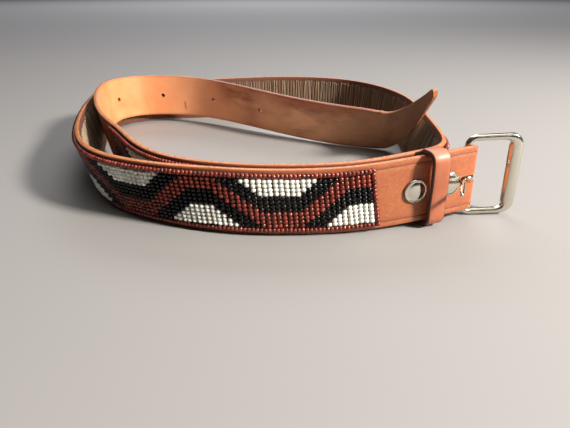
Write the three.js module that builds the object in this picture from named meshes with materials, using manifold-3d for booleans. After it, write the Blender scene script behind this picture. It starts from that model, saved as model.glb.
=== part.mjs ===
// A bead-embroidered leather belt, lying coiled on its lower edge.
// Millimetres, +Z up. The front of the coil faces -Y and the buckle is at the +X end.
// Stations along the belt are distances s from the fold at the buckle to the pointed tail.
import * as THREE from 'three';
import { mergeVertices } from 'three/addons/utils/BufferGeometryUtils.js';
import Module from 'manifold-3d';

const wasm = await Module();
wasm.setup();

// Driving dimensions
const STRAP_WIDTH = 32;
const LEATHER = 2.5;            // thickness of the strap
const EDGE_BEVEL = 0.4;         // the shaved corners of the strap
const GAP = 0.3;                // clearance between pieces that touch on the real belt
const STATION_STEP = 5.6;       // distance between sections along the strap
const FLAP_STEP = 3;
const TIP_STEP = 3.6;

const BAR_RADIUS = 1.6;         // heel bar of the buckle
const SNAP_SPACE = 2.6;         // room between strap and flap, taken by the snaps
const FLAP_END = 47;            // station where the folded-back flap ends
const FLAP_NARROW = 2.7;        // cut off each side of the flap, so that the strap hides it
const LEG_END = 11.5;           // station where the flap has come close to the strap
const SLOT_END = 11.3;          // station where the prong slot ends
const SLOT_WIDTH = 4;
const SNAP_STATIONS = [17, 35];
const HOLE_STATIONS = [1053, 1092, 1138, 1184];
const HOLE_RADIUS = 1.6;
const TIP_LENGTH = 60;          // length of the tail's point
const TIP_BLUNT = 2.8;          // half width left at the very tip
const TIP_HOLLOW = 1.2;         // above 1, the point's edges are slightly hollow
const TWIST_START = 1230;       // stations between which the tail's end turns upright
const TWIST_END = 1285;

const BEAD_START = 53.5;
const BEAD_END = 940;
const BEAD_LOW_MARGIN = 1.9;    // bare leather below the beads
const BEAD_TOP_MARGIN = 1.1;
const BEAD_HEIGHT = 2.3;        // how far the bead rows stand up from the leather
const BEAD_ROUND = 0.9;         // rounding of the outer bead rows

const KEEPER_STATION = 30.5;    // the keeper's edge nearer the tail
const KEEPER_WIDTH = 8.8;
const KEEPER_LEATHER = 2.2;
const KEEPER_TOP_ROOM = 4.4;    // room in front of the strap, for the tail to pass
const KEEPER_LOW_ROOM = 2.6;
const KEEPER_HANG = 0.4;        // room under the strap's lower edge
const KEEPER_CORNER = 3.6;
const KEEPER_BACK_CORNER = 1;
const KEEPER_BEND = -1.6;       // depth behind which it slopes in to the narrower flap
const KEEPER_BEVEL = 0.3;
const KEEPER_SWELL = [10, 18];  // heights between which its front swells from low to top room

const FRAME_HEIGHT = 41;        // outside height of the buckle frame
const FRAME_REACH = 24.3;       // heel bar axis to the middle of the far bar
const FAR_BAR_HALF = 3;         // half width of the broad far bar
const FRAME_CORNER = 4.6;
const HEEL_CORNER = 4;
const PRONG_WIRE = 1.1;         // radius of the prong's eye wire
const PRONG_LENGTH = 26;
const FRAME_SWING = 23;         // degrees that the frame is swung forward from the strap's plane
const PRONG_OPEN = 113;         // degrees that the prong stands open from the frame's plane

// The belt's lower edge in plan, on the middle of its thickness, from the fold to the tip.
// lift is the height of the lowest corner, and a positive lean tips the top edge outwards.
const PATH_ROWS = [
  // x, y, lift, lean in degrees
  [93.5, -92.5, 4.8, -3], [80.5, -98.3, 4.4, -3], [61, -105, 3.2, -3], [40, -109.3, 1.4, -1],
  [22, -111, 0.4, 0], [5, -111.5, 0, 0], [-13, -111.5, 0, 0], [-31, -108.8, 0, 0],
  [-52, -102.5, 0, 5], [-72, -93, 0, 9], [-89, -81, 0, 12], [-103, -62, 0, 14],
  [-115, -35, 0, 14], [-126, -2, 0, 13], [-135, 30, 0.5, 11], [-140, 60, 1, 8], [-131, 83, 1, 5],
  [-103, 94, 0.5, 3], [-65, 101, 0.5, 2], [-18, 110, 1.5, 2], [24, 109, 1.5, 2],
  [57, 94, 1.5, 3], [78, 65, 1, 4], [85.3, 32, 0.5, 9], [82.8, 3, 0, 14], [79.2, -24, 0, 19],
  [77, -50, 0, 19], [76.8, -73, 0, 12], [64, -85.6, 0, 2], [40, -98.4, 0, 1.5], [22, -103.9, 0, 0.5],
  [5, -105.3, 0, 0], [-13, -105.3, 0, 0], [-31, -102.3, 0, 0], [-49, -95.5, 0, 3],
  [-65, -83.5, 0, 5], [-78, -66, 0.5, 7], [-89.5, -46.5, 1.5, 8], [-104, -28, 2.5, 9],
  [-117, -5, 4, 9], [-127.8, 20.5, 6, 8], [-134.5, 46, 7, 6], [-135.5, 67, 7, 3],
  [-121, 83, 7, 0], [-94, 84.5, 7, -3], [-66, 78, 6.5, -5], [-38, 63, 5, -9], [-9, 45, 3, -13],
  [18, 29, 1.5, -16], [41, 19, 0.5, -18], [55, 14.5, 0.3, -20], [65, 11.5, 0.4, -24],
  [75, 6.5, 2, -29], [82, -5.5, 7.5, -31], [85.8, -17, 15.7, -27], [87.6, -27, 24.6, -20],
  [89, -37, 34.2, -14],
];

const UP = new THREE.Vector3(0, 0, 1);

// The strap's route as a uniform cubic B-spline through the rows above
class StrapPath extends THREE.Curve {
  row(index) {
    const last = PATH_ROWS.length - 1;
    const clamped = THREE.MathUtils.clamp(index, 0, last);
    if (clamped === index) return PATH_ROWS[index];
    const next = PATH_ROWS[index < 0 ? 1 : last - 1];
    return PATH_ROWS[clamped].map((value, k) => 2 * value - next[k]);
  }

  values(t) {
    const along = THREE.MathUtils.clamp(t, 0, 1) * (PATH_ROWS.length - 1);
    const first = Math.min(Math.floor(along), PATH_ROWS.length - 2);
    const f = along - first;
    const weights = [
      (1 - f) ** 3 / 6,
      (3 * f ** 3 - 6 * f ** 2 + 4) / 6,
      (-3 * f ** 3 + 3 * f ** 2 + 3 * f + 1) / 6,
      f ** 3 / 6,
    ];
    const rows = [-1, 0, 1, 2].map((offset) => this.row(first + offset));
    return [0, 1, 2, 3].map((k) => rows.reduce((sum, row, i) => sum + weights[i] * row[k], 0));
  }

  getPoint(t, target = new THREE.Vector3()) {
    const [x, y, lift] = this.values(t);
    return target.set(x, y, lift);
  }
}

const path = new StrapPath();
path.arcLengthDivisions = 2000;
const BELT_LENGTH = path.getLength();

// The strap's own axes at station s: along it to the tail, up across its width, and outwards.
// The climbing end of the tail twists, so its sections stay upright there.
function strapAxes(s) {
  const t = path.getUtoTmapping(s / BELT_LENGTH);
  const lean = THREE.MathUtils.degToRad(path.values(t)[3]);
  const along = path.getTangent(t);
  const side = new THREE.Vector3().crossVectors(UP, along).normalize();
  const square = new THREE.Vector3().crossVectors(along, side);
  const rise = square.lerp(UP, THREE.MathUtils.smoothstep(s, TWIST_START, TWIST_END)).normalize();
  const up = rise.clone().multiplyScalar(Math.cos(lean)).addScaledVector(side, Math.sin(lean));
  const out = side.clone().multiplyScalar(Math.cos(lean)).addScaledVector(rise, -Math.sin(lean));
  const foot = path.getPoint(t).addScaledVector(UP, (LEATHER / 2) * Math.abs(Math.sin(lean)));
  return { along, up, out, foot };
}

function pointOn(axes, height, depth) {
  return axes.foot.clone().addScaledVector(axes.up, height).addScaledVector(axes.out, depth);
}

// Local axes for a piece on the strap: x back to the buckle, y up the width, z outwards
function matrixAt(s) {
  const { up, out, foot } = strapAxes(s);
  const back = new THREE.Vector3().crossVectors(up, out);
  return new THREE.Matrix4().makeBasis(back, up, out).setPosition(foot);
}

function geometryOf(vertices, faces) {
  const geometry = new THREE.BufferGeometry();
  geometry.setAttribute('position', new THREE.Float32BufferAttribute(vertices, 3));
  geometry.setIndex(faces);
  return geometry;
}

// A closed body through rings of points that each run anticlockwise seen from the last ring
function loft(rings, closed = false) {
  const size = rings[0].length;
  const vertices = rings.flat().flatMap((point) => point.toArray());
  const faces = [];
  const spans = closed ? rings.length : rings.length - 1;
  for (let r = 0; r < spans; r += 1) {
    const here = r * size;
    const there = ((r + 1) % rings.length) * size;
    for (let k = 0; k < size; k += 1) {
      const next = (k + 1) % size;
      faces.push(here + k, here + next, there + next);
      faces.push(here + k, there + next, there + k);
    }
  }
  if (!closed) {
    const end = (rings.length - 1) * size;
    for (let k = 1; k < size - 1; k += 1) {
      faces.push(0, k + 1, k);
      faces.push(end, end + k, end + k + 1);
    }
  }
  return geometryOf(vertices, faces);
}

function solidOf(geometry) {
  const bare = geometry.clone();
  bare.deleteAttribute('normal');
  bare.deleteAttribute('uv');
  const merged = mergeVertices(bare, 1e-4);
  return new wasm.Manifold(new wasm.Mesh({
    numProp: 3,
    vertProperties: new Float32Array(merged.attributes.position.array),
    triVerts: new Uint32Array(merged.index.array),
  }));
}

function geometryFrom(solid) {
  const { vertProperties, triVerts } = solid.getMesh();
  return geometryOf(Array.from(vertProperties), Array.from(triVerts));
}

// The strap's section: a flat bar with shaved corners, from low to high across the width
function strapSection(axes, low, high) {
  const half = LEATHER / 2;
  const bevel = EDGE_BEVEL;
  const corners = [
    [low, -half + bevel], [low, half - bevel], [low + bevel, half], [high - bevel, half],
    [high, half - bevel], [high, -half + bevel], [high - bevel, -half], [low + bevel, -half],
  ];
  return corners.map(([height, depth]) => pointOn(axes, height, depth));
}

// How far the folded leather lies behind the strap: wide round the bar, closer further on
const FOLD_RADIUS = BAR_RADIUS + GAP + LEATHER / 2;
const FOLD_STATION = FOLD_RADIUS + LEATHER / 2;
const FLAP_DEPTH = LEATHER + SNAP_SPACE;

function flapDepth(s) {
  const blend = THREE.MathUtils.smoothstep(s, FOLD_STATION, LEG_END);
  return THREE.MathUtils.lerp(2 * FOLD_RADIUS, FLAP_DEPTH, blend);
}

function flapAxes(s) {
  const { along, up, out, foot } = strapAxes(s);
  const slope = (flapDepth(s + 0.1) - flapDepth(s - 0.1)) / 0.2;
  const away = out.clone().negate().addScaledVector(along, -slope).normalize();
  return { up, out: away, foot: foot.clone().addScaledVector(out, -flapDepth(s)) };
}

function foldAxes(turn) {
  const { along, up, out, foot } = strapAxes(FOLD_STATION);
  const radial = out.clone().multiplyScalar(Math.cos(turn)).addScaledVector(along, -Math.sin(turn));
  const centre = foot.clone().addScaledVector(out, -FOLD_RADIUS);
  return { up, out: radial, foot: centre.addScaledVector(radial, FOLD_RADIUS) };
}

function stations(from, to, step) {
  const count = Math.ceil((to - from) / step);
  return Array.from({ length: count + 1 }, (_, k) => from + ((to - from) * k) / count);
}

function makeStrap() {
  const trimmed = (axes, trim) => strapSection(axes, trim, STRAP_WIDTH - trim);
  const flapStations = stations(FOLD_STATION, FLAP_END, FLAP_STEP).reverse();
  const flap = flapStations.map((s) => trimmed(flapAxes(s), FLAP_NARROW));
  const turns = stations(0, Math.PI, Math.PI / 10).slice(1, -1).reverse();
  const fold = turns.map((turn) => (
    trimmed(foldAxes(turn), FLAP_NARROW * THREE.MathUtils.smoothstep(turn, 0, Math.PI))));
  const tipStart = BELT_LENGTH - TIP_LENGTH;
  const run = stations(FOLD_STATION, tipStart, STATION_STEP).map((s) => trimmed(strapAxes(s), 0));
  const tip = stations(tipStart, BELT_LENGTH, TIP_STEP).slice(1).map((s) => {
    const share = (BELT_LENGTH - s) / TIP_LENGTH;
    const half = THREE.MathUtils.lerp(TIP_BLUNT, STRAP_WIDTH / 2, share ** TIP_HOLLOW);
    return strapSection(strapAxes(s), STRAP_WIDTH / 2 - half, STRAP_WIDTH / 2 + half);
  });
  let solid = solidOf(loft([...flap, ...fold, ...run, ...tip]));
  const cutters = [slotCutter()];
  for (const s of SNAP_STATIONS) {
    cutters.push(holeCutter(s, SHANK_RADIUS + GAP, FLAP_DEPTH + 4));
  }
  for (const s of HOLE_STATIONS) {
    cutters.push(holeCutter(s, HOLE_RADIUS, 3));
  }
  for (const cutter of cutters) {
    solid = solid.subtract(solidOf(cutter));
  }
  return geometryFrom(solid);
}

function slotCutter() {
  const half = SLOT_WIDTH / 2;
  const reach = FOLD_STATION + 3;
  const shape = new THREE.Shape();
  shape.moveTo(reach, -half);
  shape.lineTo(reach, half);
  shape.lineTo(FOLD_STATION - SLOT_END + half, half);
  shape.absarc(FOLD_STATION - SLOT_END + half, 0, half, Math.PI / 2, -Math.PI / 2, false);
  const depth = 4 * FOLD_RADIUS;
  const cutter = new THREE.ExtrudeGeometry(shape, { depth, bevelEnabled: false, curveSegments: 6 });
  cutter.translate(0, STRAP_WIDTH / 2, -0.75 * depth);
  return cutter.applyMatrix4(matrixAt(FOLD_STATION));
}

function holeCutter(s, radius, behind) {
  const front = 3;
  const cutter = new THREE.CylinderGeometry(radius, radius, front + behind, 14);
  cutter.rotateX(Math.PI / 2);
  cutter.translate(0, STRAP_WIDTH / 2, (front - behind) / 2);
  return cutter.applyMatrix4(matrixAt(s));
}

// The embroidered band, as thick as its bead rows, with rounded outer rows
function makeBeadPanel() {
  const low = BEAD_LOW_MARGIN;
  const high = STRAP_WIDTH - BEAD_TOP_MARGIN;
  const inner = LEATHER / 2 + GAP;
  const outer = inner + BEAD_HEIGHT;
  const section = [
    [low, inner], [low, outer - BEAD_ROUND], [low + BEAD_ROUND, outer],
    [high - BEAD_ROUND, outer], [high, outer - BEAD_ROUND], [high, inner],
  ];
  const rings = stations(BEAD_START, BEAD_END, STATION_STEP).map((s) => {
    const axes = strapAxes(s);
    return section.map(([height, depth]) => pointOn(axes, height, depth));
  });
  return loft(rings);
}

// The loose leather loop that will hold the tail, round the strap and its flap
function makeKeeper() {
  const back = -(LEATHER / 2 + FLAP_DEPTH + 1.3 * GAP);
  const front = LEATHER / 2;
  const loop = (target, grow) => {
    const low = -KEEPER_HANG - grow;
    const high = STRAP_WIDTH + GAP + grow;
    const backLow = low + FLAP_NARROW;
    const backHigh = high - FLAP_NARROW;
    const turn = KEEPER_CORNER + grow;
    const right = front + KEEPER_TOP_ROOM + grow;
    const lowRight = front + KEEPER_LOW_ROOM + grow;
    const left = back - grow;
    const backTurn = KEEPER_BACK_CORNER + grow;
    target.moveTo(KEEPER_BEND, low);
    target.lineTo(lowRight - turn, low);
    target.quadraticCurveTo(lowRight, low, lowRight, low + turn);
    target.bezierCurveTo(lowRight, KEEPER_SWELL[0], right, KEEPER_SWELL[1], right, high - turn);
    target.quadraticCurveTo(right, high, right - turn, high);
    target.lineTo(KEEPER_BEND, high);
    target.lineTo(left + backTurn, backHigh);
    target.quadraticCurveTo(left, backHigh, left, backHigh - backTurn);
    target.lineTo(left, backLow + backTurn);
    target.quadraticCurveTo(left, backLow, left + backTurn, backLow);
    target.lineTo(KEEPER_BEND, low);
    return target;
  };
  const shape = loop(new THREE.Shape(), KEEPER_LEATHER);
  shape.holes.push(loop(new THREE.Path(), 0));
  const geometry = new THREE.ExtrudeGeometry(shape, {
    depth: KEEPER_WIDTH - 2 * KEEPER_BEVEL,
    curveSegments: 6,
    bevelThickness: KEEPER_BEVEL,
    bevelSize: KEEPER_BEVEL,
    bevelOffset: -KEEPER_BEVEL,
    bevelSegments: 1,
  });
  geometry.translate(0, 0, -KEEPER_WIDTH / 2 + KEEPER_BEVEL);
  return geometry;
}

// Press studs: a domed cap riveted to a socket on the strap, and a stud riveted to the flap
const CAP_RADIUS = 5.7;
const CAP_RIM = 0.7;
const CAP_DOME = 1.5;
const SHANK_RADIUS = 1.7;
const SOCKET_RADIUS = 4.4;
const SOCKET_WALL = 1.5;
const STUD_RADIUS = 1.9;
const STUD_BACK_RADIUS = 4.1;
const STUD_BACK = 1;

function lathe(profile) {
  const points = profile.map(([radius, height]) => new THREE.Vector2(radius, height));
  const geometry = new THREE.LatheGeometry(points, 20);
  geometry.rotateX(Math.PI / 2);
  return geometry.translate(0, STRAP_WIDTH / 2, 0);
}

function makeSnapCap() {
  const face = LEATHER / 2 + GAP;
  const socketTop = -LEATHER / 2 - GAP;
  const socketLow = socketTop - (SNAP_SPACE - 2 * GAP);
  const recess = STUD_RADIUS + GAP;
  return lathe([
    [0, socketTop - 0.5], [recess, socketTop - 0.5], [recess, socketLow],
    [recess + SOCKET_WALL, socketLow], [SOCKET_RADIUS, socketLow + 0.6],
    [SOCKET_RADIUS, socketTop], [SHANK_RADIUS, socketTop], [SHANK_RADIUS, face],
    [CAP_RADIUS - 0.3, face], [CAP_RADIUS, face + CAP_RIM / 2], [CAP_RADIUS - 0.3, face + CAP_RIM],
    [CAP_RADIUS - 1, face + CAP_RIM + 0.15], [CAP_RADIUS * 0.55, face + CAP_DOME * 0.85],
    [0, face + CAP_DOME],
  ]);
}

function makeSnapStud() {
  const flapFront = LEATHER / 2 - FLAP_DEPTH;
  const flapBack = flapFront - LEATHER - 1.5 * GAP;
  const ballTop = -LEATHER / 2 - GAP - 0.5 - GAP;
  return lathe([
    [0, flapBack - STUD_BACK], [STUD_BACK_RADIUS - 0.4, flapBack - STUD_BACK],
    [STUD_BACK_RADIUS, flapBack - STUD_BACK / 2], [STUD_BACK_RADIUS, flapBack],
    [SHANK_RADIUS, flapBack], [SHANK_RADIUS, flapFront + 0.2], [STUD_RADIUS, ballTop - 0.7],
    [STUD_RADIUS - 0.4, ballTop], [0, ballTop],
  ]);
}

// The buckle: a closed bent frame, round in section, that broadens along its far bar
function makeBuckleFrame() {
  const top = FRAME_HEIGHT / 2 - BAR_RADIUS;
  const far = FRAME_REACH;
  const outline = new THREE.Path();
  outline.moveTo(HEEL_CORNER, -top);
  outline.lineTo(far - FRAME_CORNER, -top);
  outline.absarc(far - FRAME_CORNER, -top + FRAME_CORNER, FRAME_CORNER, -Math.PI / 2, 0, false);
  outline.lineTo(far, top - FRAME_CORNER);
  outline.absarc(far - FRAME_CORNER, top - FRAME_CORNER, FRAME_CORNER, 0, Math.PI / 2, false);
  outline.lineTo(HEEL_CORNER, top);
  outline.absarc(HEEL_CORNER, top - HEEL_CORNER, HEEL_CORNER, Math.PI / 2, Math.PI, false);
  outline.lineTo(0, -top + HEEL_CORNER);
  outline.absarc(HEEL_CORNER, -top + HEEL_CORNER, HEEL_CORNER, Math.PI, 1.5 * Math.PI, false);
  const points = outline.getSpacedPoints(64).slice(0, -1);
  const sides = 12;
  const rings = points.map((point, k) => {
    const before = points[(k + points.length - 1) % points.length];
    const after = points[(k + 1) % points.length];
    const heading = new THREE.Vector2().subVectors(after, before).normalize();
    const broad = THREE.MathUtils.smoothstep(point.x, far - 1.6 * FRAME_CORNER, far);
    const half = THREE.MathUtils.lerp(BAR_RADIUS, FAR_BAR_HALF, broad);
    const shift = half - BAR_RADIUS;
    return Array.from({ length: sides }, (_, i) => {
      const angle = (2 * Math.PI * i) / sides;
      const across = half * Math.cos(angle) - shift;
      return new THREE.Vector3(
        point.x + across * heading.y,
        point.y - across * heading.x,
        -BAR_RADIUS * Math.sin(angle),
      );
    });
  });
  return loft(rings, true);
}

// The prong: an eye bent round the heel bar and a shank that thins to a blunt bevelled tip
function makeProng() {
  const eyeRadius = BAR_RADIUS + GAP + PRONG_WIRE;
  const eye = new THREE.TorusGeometry(eyeRadius, PRONG_WIRE, 10, 20);
  eye.rotateX(Math.PI / 2);
  const rows = [
    // distance from the bar, half height, half thickness
    { x: eyeRadius - 0.5, high: 1.1, thick: 1 },
    { x: eyeRadius + 4, high: 1.25, thick: 1.05 },
    { x: PRONG_LENGTH * 0.6, high: 1.2, thick: 1.05 },
    { x: PRONG_LENGTH - 2.5, high: 1.1, thick: 1 },
    { x: PRONG_LENGTH, high: 0.9, thick: 0.6 },
  ];
  const sides = 10;
  const shank = loft(rows.map((row) => Array.from({ length: sides }, (_, i) => {
    const angle = (2 * Math.PI * i) / sides;
    return new THREE.Vector3(row.x, row.high * Math.cos(angle), row.thick * Math.sin(angle));
  })));
  return geometryFrom(solidOf(eye).add(solidOf(shank)));
}

const leather = new THREE.MeshStandardMaterial({ color: '#c4744a', roughness: 0.55, metalness: 0 });
const beads = new THREE.MeshStandardMaterial({ color: '#8c2f24', roughness: 0.25, metalness: 0 });
const keeperLeather = new THREE.MeshStandardMaterial({ color: '#bd6b48', roughness: 0.5, metalness: 0 });
const nickel = new THREE.MeshStandardMaterial({ color: '#c9c7bf', roughness: 0.22, metalness: 1 });

const group = new THREE.Group();

function addPiece(name, geometry, material, matrix = new THREE.Matrix4()) {
  const mesh = new THREE.Mesh(geometry, material.clone());
  mesh.name = name;
  mesh.applyMatrix4(matrix);
  group.add(mesh);
  return mesh;
}

addPiece('strap', makeStrap(), leather);
addPiece('bead_panel', makeBeadPanel(), beads);

const keeperMiddle = KEEPER_STATION - KEEPER_WIDTH / 2;
const keeperTurn = new THREE.Matrix4().makeBasis(
  new THREE.Vector3(0, 0, 1), new THREE.Vector3(0, 1, 0), new THREE.Vector3(-1, 0, 0));
addPiece('keeper', makeKeeper(), keeperLeather, matrixAt(keeperMiddle).multiply(keeperTurn));

SNAP_STATIONS.forEach((s, k) => {
  addPiece(`snap_cap_${k + 1}`, makeSnapCap(), nickel, matrixAt(s));
  addPiece(`snap_stud_${k + 1}`, makeSnapStud(), nickel, matrixAt(s));
});

const frameSwing = new THREE.Matrix4().makeRotationY(-THREE.MathUtils.degToRad(FRAME_SWING));
const barMatrix = matrixAt(FOLD_STATION)
  .multiply(new THREE.Matrix4().makeTranslation(0, STRAP_WIDTH / 2, -FOLD_RADIUS))
  .multiply(frameSwing);
addPiece('buckle_frame', makeBuckleFrame(), nickel, barMatrix);
const prongTurn = new THREE.Matrix4().makeRotationY(-THREE.MathUtils.degToRad(PRONG_OPEN));
addPiece('prong', makeProng(), nickel, barMatrix.clone().multiply(prongTurn));

// The origin is on the floor, under the middle of the whole belt
const bounds = new THREE.Box3().setFromObject(group, true);
const middle = bounds.getCenter(new THREE.Vector3());
group.position.set(-middle.x, -middle.y, -bounds.min.z);

export default group;
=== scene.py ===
# A bead-embroidered leather belt with a nickel pin buckle, coiled on its lower edge.
# Sizes are in millimetres up to the point where a mesh is made, which is in metres.
# A station is a distance along the belt from the fold at the buckle to the pointed tail.
import math
import random

import bpy
from mathutils import Matrix, Vector


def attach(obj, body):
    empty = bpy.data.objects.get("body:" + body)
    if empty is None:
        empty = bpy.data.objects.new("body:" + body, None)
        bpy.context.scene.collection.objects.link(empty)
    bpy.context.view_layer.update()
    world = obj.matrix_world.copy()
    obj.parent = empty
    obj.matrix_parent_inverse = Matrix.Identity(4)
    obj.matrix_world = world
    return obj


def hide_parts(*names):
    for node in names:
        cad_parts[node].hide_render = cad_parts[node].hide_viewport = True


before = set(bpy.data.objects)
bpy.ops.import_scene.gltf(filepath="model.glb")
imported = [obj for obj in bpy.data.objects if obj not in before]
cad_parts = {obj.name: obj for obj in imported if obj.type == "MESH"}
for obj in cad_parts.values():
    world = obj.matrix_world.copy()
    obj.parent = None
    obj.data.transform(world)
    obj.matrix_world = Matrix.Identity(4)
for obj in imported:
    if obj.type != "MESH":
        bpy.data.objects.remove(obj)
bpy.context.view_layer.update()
scene = bpy.context.scene

# ------------------------------------------------------------------------------------------
# The strap: one length of vegetable-tanned cowhide, 32 mm wide, cut as a strip, creased along
# both edges, slotted and punched while flat, then folded round the buckle's bar and coiled.
# Its grain side is smooth and orange-tan, and its flesh side is paler, napped and smudged.
# ------------------------------------------------------------------------------------------
MM = 0.001
UP = Vector((0, 0, 1))
WIDTH = 32.0
LEATHER = 2.5
GAP = 0.3               # clear space between pieces that touch
ROUTE_SHIFT = Vector((16.036, 0.668, 0.0))  # puts the coil's middle over the origin

# The lower edge's route: x, y, height of its lowest corner, lean of the strap in degrees
ROUTE = [
    (93.5, -92.5, 4.8, -3), (80.5, -98.3, 4.4, -3), (61, -105, 3.2, -3), (40, -109.3, 1.4, -1),
    (22, -111, 0.4, 0), (5, -111.5, 0, 0), (-13, -111.5, 0, 0), (-31, -108.8, 0, 0),
    (-52, -102.5, 0, 5), (-72, -93, 0, 9), (-89, -81, 0, 12), (-103, -62, 0, 14),
    (-115, -35, 0, 14), (-126, -2, 0, 13), (-135, 30, 0.5, 11), (-140, 60, 1, 8),
    (-131, 83, 1, 5), (-103, 94, 0.5, 3), (-65, 101, 0.5, 2), (-18, 110, 1.5, 2),
    (24, 109, 1.5, 2), (57, 94, 1.5, 3), (78, 65, 1, 4), (85.3, 32, 0.5, 9),
    (82.8, 3, 0, 14), (79.2, -24, 0, 19), (77, -50, 0, 19), (76.8, -73, 0, 12),
    (64, -85.6, 0, 2), (40, -98.4, 0, 1.5), (22, -103.9, 0, 0.5), (5, -105.3, 0, 0),
    (-13, -105.3, 0, 0), (-31, -102.3, 0, 0), (-49, -95.5, 0, 3), (-65, -83.5, 0, 5),
    (-78, -66, 0.5, 7), (-89.5, -46.5, 1.5, 8), (-104, -28, 2.5, 9), (-117, -5, 4, 9),
    (-127.8, 20.5, 6, 8), (-134.5, 46, 7, 6), (-135.5, 67, 7, 3), (-121, 83, 7, 0),
    (-94, 84.5, 7, -3), (-66, 78, 6.5, -5), (-38, 63, 5, -9), (-9, 45, 3, -13),
    (18, 29, 1.5, -16), (41, 19, 0.5, -18), (55, 14.5, 0.3, -20), (65, 11.5, 0.4, -24),
    (75, 6.5, 2, -29), (82, -5.5, 7.5, -31), (85.8, -17, 15.7, -27), (87.6, -27, 24.6, -20),
    (89, -37, 34.2, -14),
]


def route_row(index):
    last = len(ROUTE) - 1
    if 0 <= index <= last:
        return ROUTE[index]
    end, inner = (ROUTE[0], ROUTE[1]) if index < 0 else (ROUTE[last], ROUTE[last - 1])
    return [2 * a - b for a, b in zip(end, inner)]


def route_values(t):
    """The route as a uniform cubic B-spline, t from 0 to 1."""
    along = min(max(t, 0.0), 1.0) * (len(ROUTE) - 1)
    first = min(int(along), len(ROUTE) - 2)
    f = along - first
    weights = ((1 - f) ** 3 / 6, (3 * f**3 - 6 * f**2 + 4) / 6,
               (-3 * f**3 + 3 * f**2 + 3 * f + 1) / 6, f**3 / 6)
    rows = [route_row(first + k) for k in (-1, 0, 1, 2)]
    return [sum(w * row[k] for w, row in zip(weights, rows)) for k in range(4)]


def route_point(t):
    x, y, lift, _ = route_values(t)
    return Vector((x, y, lift))


ROUTE_PARTS = 2000
route_lengths = [0.0]
for part in range(ROUTE_PARTS):
    chord = route_point((part + 1) / ROUTE_PARTS) - route_point(part / ROUTE_PARTS)
    route_lengths.append(route_lengths[-1] + chord.length)
BELT_LENGTH = route_lengths[-1]


def route_t(s):
    """The route's t at a station."""
    low, high = 0, ROUTE_PARTS
    while high - low > 1:
        middle = (low + high) // 2
        if route_lengths[middle] <= s:
            low = middle
        else:
            high = middle
    span = route_lengths[high] - route_lengths[low]
    return (low + (s - route_lengths[low]) / span) / ROUTE_PARTS


def smooth(x, low, high):
    """0 below low, 1 above high, and an even curve between them."""
    x = min(max((x - low) / (high - low), 0.0), 1.0)
    return x * x * (3 - 2 * x)


def mix(a, b, share):
    return a + (b - a) * share


T_STEP = 1e-4
UPRIGHT_FROM, UPRIGHT_TO = 1230, 1285   # where the climbing tail's width turns vertical


def strap_axes(s):
    """Along the strap to the tail, up its width, out of its grain side, and its lower edge."""
    t = route_t(s)
    lean = math.radians(route_values(t)[3])
    ahead, back = min(t + T_STEP, 1.0), max(t - T_STEP, 0.0)
    along = (route_point(ahead) - route_point(back)).normalized()
    side = UP.cross(along).normalized()
    rise = along.cross(side).lerp(UP, smooth(s, UPRIGHT_FROM, UPRIGHT_TO)).normalized()
    up = rise * math.cos(lean) + side * math.sin(lean)
    out = side * math.cos(lean) - rise * math.sin(lean)
    foot = route_point(t) + UP * (LEATHER / 2 * abs(math.sin(lean))) + ROUTE_SHIFT
    return along, up, out, foot


FOLD_RADIUS = 3.15      # of the leather's middle round the bar
FOLD_STATION = 4.4
FOLD_LENGTH = math.pi * FOLD_RADIUS
FLAP_DEPTH = 5.1        # from the middle of the strap to the middle of the flap
FLAP_END = 47.0
FLAP_CLOSED = 11.5      # the station from which the flap lies close to the strap
FLAP_NARROW = 2.7       # taken off each side of the flap, so that the strap hides it


def flap_depth(s):
    return mix(2 * FOLD_RADIUS, FLAP_DEPTH, smooth(s, FOLD_STATION, FLAP_CLOSED))


def behind(s):
    """The place on the flat strip that the fold brings behind station s, and back again."""
    return 2 * FOLD_STATION - FOLD_LENGTH - s


def bent_axes(u):
    """Up, out and lower edge at a place u on the flat strip; u runs below 4.4 into the flap."""
    if u >= FOLD_STATION:
        _, up, out, foot = strap_axes(u)
        return up, out, foot
    if u >= FOLD_STATION - FOLD_LENGTH:
        along, up, out, foot = strap_axes(FOLD_STATION)
        turn = (FOLD_STATION - u) / FOLD_RADIUS
        radial = out * math.cos(turn) - along * math.sin(turn)
        return up, radial, foot + (radial - out) * FOLD_RADIUS
    s = behind(u)
    along, up, out, foot = strap_axes(s)
    slope = (flap_depth(s + 0.1) - flap_depth(s - 0.1)) / 0.2
    away = (-out - along * slope).normalized()
    return up, away, foot - out * flap_depth(s)


FLAT_START = behind(FLAP_END)
CREASES = (2.9, 29.1)       # heights of the creased lines
CREASE_DEEP = 0.22
CREASE_HALF = 0.45
TIP_LENGTH = 60.0
TIP_BLUNT = 2.8         # half the width where the point's end is rounded off
TIP_ROUND = 2.4
RIM = 4.0               # the edge and its crease keep their distance along the point
RIM_ROOM = 7.0          # a point narrower than this on each side squeezes the rim too
half = LEATHER / 2
grain_side = [(0.0, half - 0.45), (0.13, half - 0.15), (0.42, half),
              (CREASES[0] - CREASE_HALF, half), (CREASES[0], half - CREASE_DEEP),
              (CREASES[0] + CREASE_HALF, half)]
grain_side += [(h, half) for h in (5.5, 9, 12.5, 16, 19.5, 23, 26.5)]
grain_side += [(WIDTH - h, d) for h, d in reversed(grain_side[:6])]
flesh_side = [(WIDTH - h, d) for h, d in
              ((0.0, 0.4 - half), (0.15, 0.12 - half), (0.45, -half), (3, -half), (7, -half),
               (11.5, -half), (16, -half), (20.5, -half), (25, -half), (29, -half),
               (31.55, -half), (31.85, 0.12 - half), (32.0, 0.4 - half))]
strap_ring = grain_side + flesh_side


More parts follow.
